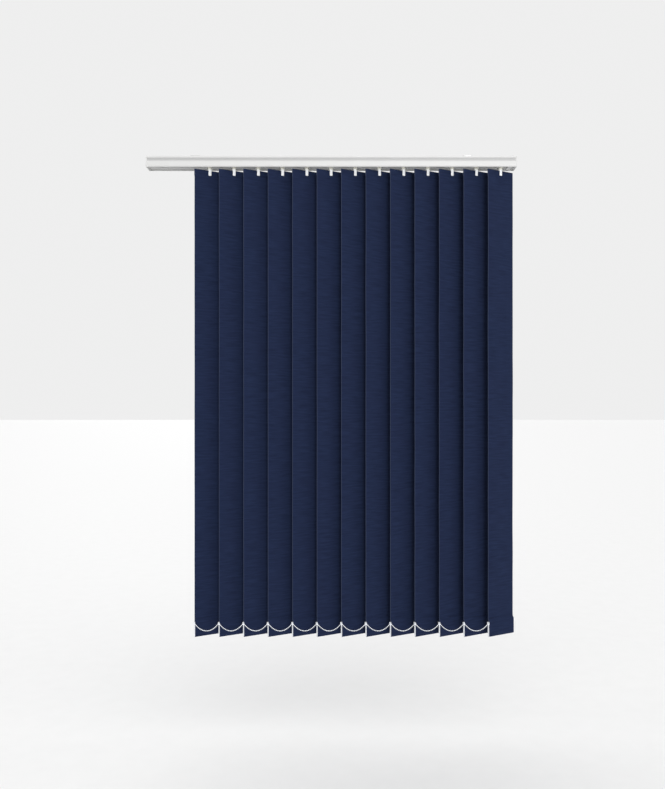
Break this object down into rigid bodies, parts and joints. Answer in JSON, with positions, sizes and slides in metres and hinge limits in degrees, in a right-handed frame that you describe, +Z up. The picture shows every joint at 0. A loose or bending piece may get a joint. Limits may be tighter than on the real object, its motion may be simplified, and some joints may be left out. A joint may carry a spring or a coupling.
{
  "type": "vertical blind",
  "caption": "Vertical blind: navy fabric vanes hang from a white headrail, linked along the foot by bead chains, and tilt and draw together.",
  "frame": {"origin": "on the face that meets the soffit, midway between the two fixing holes", "axes": "+X along the headrail to the right, -Y towards the room, +Z up"},
  "size_m": [1.0366, 0.0536, 1.341],
  "materials": {
    "vane_fabric": "navy polyester, faint cross-wise slub",
    "rail_enamel": "white powder coat",
    "cap_plastic": "white, fine spark texture",
    "bracket_steel": "zinc plated",
    "rod_aluminium": "mill finish",
    "gear_plastic": "grey",
    "carrier_plastic": "cream",
    "hook_plastic": "bright white",
    "chain_plastic": "white beads"
  },
  "bodies": {
    "root": {"headrail": "rail_enamel", "return_end_cap": "cap_plastic", "control_end_cap": "cap_plastic", "mounting_brackets": "bracket_steel", "carrier_13": "carrier_plastic"},
    "tilt_rod": {"tilt_rod": "rod_aluminium", "control_sprocket": "gear_plastic"},
    "carrier_01": {"carrier_01": "carrier_plastic"},
    "carrier_02": {"carrier_02": "carrier_plastic"},
    "carrier_03": {"carrier_03": "carrier_plastic"},
    "carrier_04": {"carrier_04": "carrier_plastic"},
    "carrier_05": {"carrier_05": "carrier_plastic"},
    "carrier_06": {"carrier_06": "carrier_plastic"},
    "carrier_07": {"carrier_07": "carrier_plastic"},
    "carrier_08": {"carrier_08": "carrier_plastic"},
    "carrier_09": {"carrier_09": "carrier_plastic"},
    "carrier_10": {"carrier_10": "carrier_plastic"},
    "carrier_11": {"carrier_11": "carrier_plastic"},
    "carrier_12": {"carrier_12": "carrier_plastic"},
    "vane_01": {"vane_01": "vane_fabric", "vane_hook_01": "hook_plastic"},
    "worm_01": {"worm_01": "gear_plastic"},
    "vane_02": {"vane_02": "vane_fabric", "vane_hook_02": "hook_plastic"},
    "worm_02": {"worm_02": "gear_plastic"},
    "vane_03": {"vane_03": "vane_fabric", "vane_hook_03": "hook_plastic"},
    "worm_03": {"worm_03": "gear_plastic"},
    "vane_04": {"vane_04": "vane_fabric", "vane_hook_04": "hook_plastic"},
    "worm_04": {"worm_04": "gear_plastic"},
    "vane_05": {"vane_05": "vane_fabric", "vane_hook_05": "hook_plastic"},
    "worm_05": {"worm_05": "gear_plastic"},
    "vane_06": {"vane_06": "vane_fabric", "vane_hook_06": "hook_plastic"},
    "worm_06": {"worm_06": "gear_plastic"},
    "vane_07": {"vane_07": "vane_fabric", "vane_hook_07": "hook_plastic"},
    "worm_07": {"worm_07": "gear_plastic"},
    "vane_08": {"vane_08": "vane_fabric", "vane_hook_08": "hook_plastic"},
    "worm_08": {"worm_08": "gear_plastic"},
    "vane_09": {"vane_09": "vane_fabric", "vane_hook_09": "hook_plastic"},
    "worm_09": {"worm_09": "gear_plastic"},
    "vane_10": {"vane_10": "vane_fabric", "vane_hook_10": "hook_plastic"},
    "worm_10": {"worm_10": "gear_plastic"},
    "vane_11": {"vane_11": "vane_fabric", "vane_hook_11": "hook_plastic"},
    "worm_11": {"worm_11": "gear_plastic"},
    "vane_12": {"vane_12": "vane_fabric", "vane_hook_12": "hook_plastic"},
    "worm_12": {"worm_12": "gear_plastic"},
    "vane_13": {"vane_13": "vane_fabric", "vane_hook_13": "hook_plastic"},
    "worm_13": {"worm_13": "gear_plastic"},
    "bottom_chain_front": {"bottom_chain_front": "chain_plastic"},
    "bottom_chain_back": {"bottom_chain_back": "chain_plastic"}
  },
  "joints": [
    {"name": "draw", "type": "slide", "parent": "root", "child": "carrier_01", "axis": [1, 0, 0], "range_m": [0, 0.5292], "deforming": ["bottom_chain_front", "bottom_chain_back"]},
    {"name": "tilt", "type": "hinge", "parent": "root", "child": "vane_13", "pos_m": [0.4754, 0, -0.0373], "axis": [0, 0, 1], "range_deg": [-12.5, 133.5]},
    {"name": "tilt_01", "type": "hinge", "parent": "carrier_01", "child": "vane_01", "pos_m": [-0.3418, 0, -0.0373], "axis": [0, 0, 1], "range_deg": [-12.5, 133.5]},
    {"name": "draw_02", "type": "slide", "parent": "root", "child": "carrier_02", "axis": [1, 0, 0], "range_m": [0, 0.4852]},
    {"name": "tilt_02", "type": "hinge", "parent": "carrier_02", "child": "vane_02", "pos_m": [-0.2737, 0, -0.0373], "axis": [0, 0, 1], "range_deg": [-12.5, 133.5]},
    {"name": "draw_03", "type": "slide", "parent": "root", "child": "carrier_03", "axis": [1, 0, 0], "range_m": [0, 0.4411]},
    {"name": "tilt_03", "type": "hinge", "parent": "carrier_03", "child": "vane_03", "pos_m": [-0.2056, 0, -0.0373], "axis": [0, 0, 1], "range_deg": [-12.5, 133.5]},
    {"name": "draw_04", "type": "slide", "parent": "root", "child": "carrier_04", "axis": [1, 0, 0], "range_m": [0, 0.397]},
    {"name": "tilt_04", "type": "hinge", "parent": "carrier_04", "child": "vane_04", "pos_m": [-0.1375, 0, -0.0373], "axis": [0, 0, 1], "range_deg": [-12.5, 133.5]},
    {"name": "draw_05", "type": "slide", "parent": "root", "child": "carrier_05", "axis": [1, 0, 0], "range_m": [0, 0.3529]},
    {"name": "tilt_05", "type": "hinge", "parent": "carrier_05", "child": "vane_05", "pos_m": [-0.0694, 0, -0.0373], "axis": [0, 0, 1], "range_deg": [-12.5, 133.5]},
    {"name": "draw_06", "type": "slide", "parent": "root", "child": "carrier_06", "axis": [1, 0, 0], "range_m": [0, 0.3088]},
    {"name": "tilt_06", "type": "hinge", "parent": "carrier_06", "child": "vane_06", "pos_m": [-0.0013, 0, -0.0373], "axis": [0, 0, 1], "range_deg": [-12.5, 133.5]},
    {"name": "draw_07", "type": "slide", "parent": "root", "child": "carrier_07", "axis": [1, 0, 0], "range_m": [0, 0.2647]},
    {"name": "tilt_07", "type": "hinge", "parent": "carrier_07", "child": "vane_07", "pos_m": [0.0668, 0, -0.0373], "axis": [0, 0, 1], "range_deg": [-12.5, 133.5]},
    {"name": "draw_08", "type": "slide", "parent": "root", "child": "carrier_08", "axis": [1, 0, 0], "range_m": [0, 0.2206]},
    {"name": "tilt_08", "type": "hinge", "parent": "carrier_08", "child": "vane_08", "pos_m": [0.1349, 0, -0.0373], "axis": [0, 0, 1], "range_deg": [-12.5, 133.5]},
    {"name": "draw_09", "type": "slide", "parent": "root", "child": "carrier_09", "axis": [1, 0, 0], "range_m": [0, 0.1765]},
    {"name": "tilt_09", "type": "hinge", "parent": "carrier_09", "child": "vane_09", "pos_m": [0.203, 0, -0.0373], "axis": [0, 0, 1], "range_deg": [-12.5, 133.5]},
    {"name": "draw_10", "type": "slide", "parent": "root", "child": "carrier_10", "axis": [1, 0, 0], "range_m": [0, 0.1324]},
    {"name": "tilt_10", "type": "hinge", "parent": "carrier_10", "child": "vane_10", "pos_m": [0.2711, 0, -0.0373], "axis": [0, 0, 1], "range_deg": [-12.5, 133.5]},
    {"name": "draw_11", "type": "slide", "parent": "root", "child": "carrier_11", "axis": [1, 0, 0], "range_m": [0, 0.0883]},
    {"name": "tilt_11", "type": "hinge", "parent": "carrier_11", "child": "vane_11", "pos_m": [0.3392, 0, -0.0373], "axis": [0, 0, 1], "range_deg": [-12.5, 133.5]},
    {"name": "draw_12", "type": "slide", "parent": "root", "child": "carrier_12", "axis": [1, 0, 0], "range_m": [0, 0.0442]},
    {"name": "tilt_12", "type": "hinge", "parent": "carrier_12", "child": "vane_12", "pos_m": [0.4073, 0, -0.0373], "axis": [0, 0, 1], "range_deg": [-12.5, 133.5]},
    {"name": "worm_turn_01", "type": "hinge", "parent": "carrier_01", "child": "worm_01", "pos_m": [-0.3418, 0.0103, -0.0153], "axis": [1, 0, 0], "range_deg": [-75, 801]},
    {"name": "worm_turn_02", "type": "hinge", "parent": "carrier_02", "child": "worm_02", "pos_m": [-0.2737, 0.0103, -0.0153], "axis": [1, 0, 0], "range_deg": [-75, 801]},
    {"name": "worm_turn_03", "type": "hinge", "parent": "carrier_03", "child": "worm_03", "pos_m": [-0.2056, 0.0103, -0.0153], "axis": [1, 0, 0], "range_deg": [-75, 801]},
    {"name": "worm_turn_04", "type": "hinge", "parent": "carrier_04", "child": "worm_04", "pos_m": [-0.1375, 0.0103, -0.0153], "axis": [1, 0, 0], "range_deg": [-75, 801]},
    {"name": "worm_turn_05", "type": "hinge", "parent": "carrier_05", "child": "worm_05", "pos_m": [-0.0694, 0.0103, -0.0153], "axis": [1, 0, 0], "range_deg": [-75, 801]},
    {"name": "worm_turn_06", "type": "hinge", "parent": "carrier_06", "child": "worm_06", "pos_m": [-0.0013, 0.0103, -0.0153], "axis": [1, 0, 0], "range_deg": [-75, 801]},
    {"name": "worm_turn_07", "type": "hinge", "parent": "carrier_07", "child": "worm_07", "pos_m": [0.0668, 0.0103, -0.0153], "axis": [1, 0, 0], "range_deg": [-75, 801]},
    {"name": "worm_turn_08", "type": "hinge", "parent": "carrier_08", "child": "worm_08", "pos_m": [0.1349, 0.0103, -0.0153], "axis": [1, 0, 0], "range_deg": [-75, 801]},
    {"name": "worm_turn_09", "type": "hinge", "parent": "carrier_09", "child": "worm_09", "pos_m": [0.203, 0.0103, -0.0153], "axis": [1, 0, 0], "range_deg": [-75, 801]},
    {"name": "worm_turn_10", "type": "hinge", "parent": "carrier_10", "child": "worm_10", "pos_m": [0.2711, 0.0103, -0.0153], "axis": [1, 0, 0], "range_deg": [-75, 801]},
    {"name": "worm_turn_11", "type": "hinge", "parent": "carrier_11", "child": "worm_11", "pos_m": [0.3392, 0.0103, -0.0153], "axis": [1, 0, 0], "range_deg": [-75, 801]},
    {"name": "worm_turn_12", "type": "hinge", "parent": "carrier_12", "child": "worm_12", "pos_m": [0.4073, 0.0103, -0.0153], "axis": [1, 0, 0], "range_deg": [-75, 801]},
    {"name": "worm_turn_13", "type": "hinge", "parent": "root", "child": "worm_13", "pos_m": [0.4754, 0.0103, -0.0153], "axis": [1, 0, 0], "range_deg": [-75, 801]},
    {"name": "rod_turn", "type": "hinge", "parent": "root", "child": "tilt_rod", "pos_m": [0, 0.0103, -0.0153], "axis": [1, 0, 0], "range_deg": [-75, 801]},
    {"name": "chain_hang_front", "type": "hinge", "parent": "vane_13", "child": "bottom_chain_front", "pos_m": [0.43657, -0.02699, -1.3], "axis": [0, 0, 1], "range_deg": [-133.5, 12.5]},
    {"name": "chain_hang_back", "type": "hinge", "parent": "vane_13", "child": "bottom_chain_back", "pos_m": [0.51642, 0.02295, -1.3], "axis": [0, 0, 1], "range_deg": [-133.5, 12.5]}
  ],
  "couplings": [
    {"joint": "tilt_01", "follows": "tilt", "ratio": 1},
    {"joint": "draw_02", "follows": "draw", "ratio": 0.91667},
    {"joint": "tilt_02", "follows": "tilt", "ratio": 1},
    {"joint": "draw_03", "follows": "draw", "ratio": 0.83333},
    {"joint": "tilt_03", "follows": "tilt", "ratio": 1},
    {"joint": "draw_04", "follows": "draw", "ratio": 0.75},
    {"joint": "tilt_04", "follows": "tilt", "ratio": 1},
    {"joint": "draw_05", "follows": "draw", "ratio": 0.66667},
    {"joint": "tilt_05", "follows": "tilt", "ratio": 1},
    {"joint": "draw_06", "follows": "draw", "ratio": 0.58333},
    {"joint": "tilt_06", "follows": "tilt", "ratio": 1},
    {"joint": "draw_07", "follows": "draw", "ratio": 0.5},
    {"joint": "tilt_07", "follows": "tilt", "ratio": 1},
    {"joint": "draw_08", "follows": "draw", "ratio": 0.41667},
    {"joint": "tilt_08", "follows": "tilt", "ratio": 1},
    {"joint": "draw_09", "follows": "draw", "ratio": 0.33333},
    {"joint": "tilt_09", "follows": "tilt", "ratio": 1},
    {"joint": "draw_10", "follows": "draw", "ratio": 0.25},
    {"joint": "tilt_10", "follows": "tilt", "ratio": 1},
    {"joint": "draw_11", "follows": "draw", "ratio": 0.16667},
    {"joint": "tilt_11", "follows": "tilt", "ratio": 1},
    {"joint": "draw_12", "follows": "draw", "ratio": 0.083333},
    {"joint": "tilt_12", "follows": "tilt", "ratio": 1},
    {"joint": "worm_turn_01", "follows": "tilt", "ratio": 6},
    {"joint": "worm_turn_02", "follows": "tilt", "ratio": 6},
    {"joint": "worm_turn_03", "follows": "tilt", "ratio": 6},
    {"joint": "worm_turn_04", "follows": "tilt", "ratio": 6},
    {"joint": "worm_turn_05", "follows": "tilt", "ratio": 6},
    {"joint": "worm_turn_06", "follows": "tilt", "ratio": 6},
    {"joint": "worm_turn_07", "follows": "tilt", "ratio": 6},
    {"joint": "worm_turn_08", "follows": "tilt", "ratio": 6},
    {"joint": "worm_turn_09", "follows": "tilt", "ratio": 6},
    {"joint": "worm_turn_10", "follows": "tilt", "ratio": 6},
    {"joint": "worm_turn_11", "follows": "tilt", "ratio": 6},
    {"joint": "worm_turn_12", "follows": "tilt", "ratio": 6},
    {"joint": "worm_turn_13", "follows": "tilt", "ratio": 6},
    {"joint": "rod_turn", "follows": "tilt", "ratio": 6},
    {"joint": "chain_hang_front", "follows": "tilt", "ratio": -1},
    {"joint": "chain_hang_back", "follows": "tilt", "ratio": -1}
  ]
}
